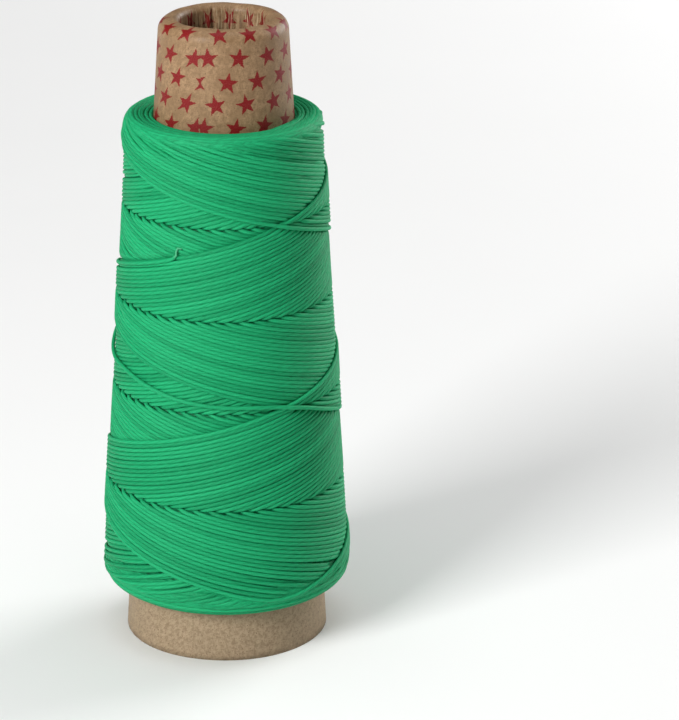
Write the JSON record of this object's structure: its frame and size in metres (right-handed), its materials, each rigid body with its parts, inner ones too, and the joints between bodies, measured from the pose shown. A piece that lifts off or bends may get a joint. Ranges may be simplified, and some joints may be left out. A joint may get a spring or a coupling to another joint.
{
  "type": "thread spool",
  "caption": "Cross-wound package of waxed thread on a tapered rolled-paper cone with a rolled-in nose; open right through for a peg or spindle.",
  "frame": {"origin": "centre of the wide end's rim, on the surface that the spool stands on", "axes": "+Z along the cone's axis from the wide end to the rolled nose; the paper's lap seam and the thread's newest turns face -Y"},
  "size_m": [0.0668, 0.0668, 0.17],
  "materials": {
    "printed_paper": "matte",
    "inner_paper": "matte",
    "waxed_thread": "satin",
    "inner_thread": "satin"
  },
  "bodies": {
    "root": {"cone_inner_ply": "inner_paper", "cone_middle_ply": "inner_paper", "cone_outer_ply": "printed_paper", "thread_start_turns": "inner_thread", "thread_package": "inner_thread", "thread_top_lay": "waxed_thread", "thread_loose_turn": "waxed_thread", "thread_free_end": "waxed_thread"}
  },
  "joints": []
}
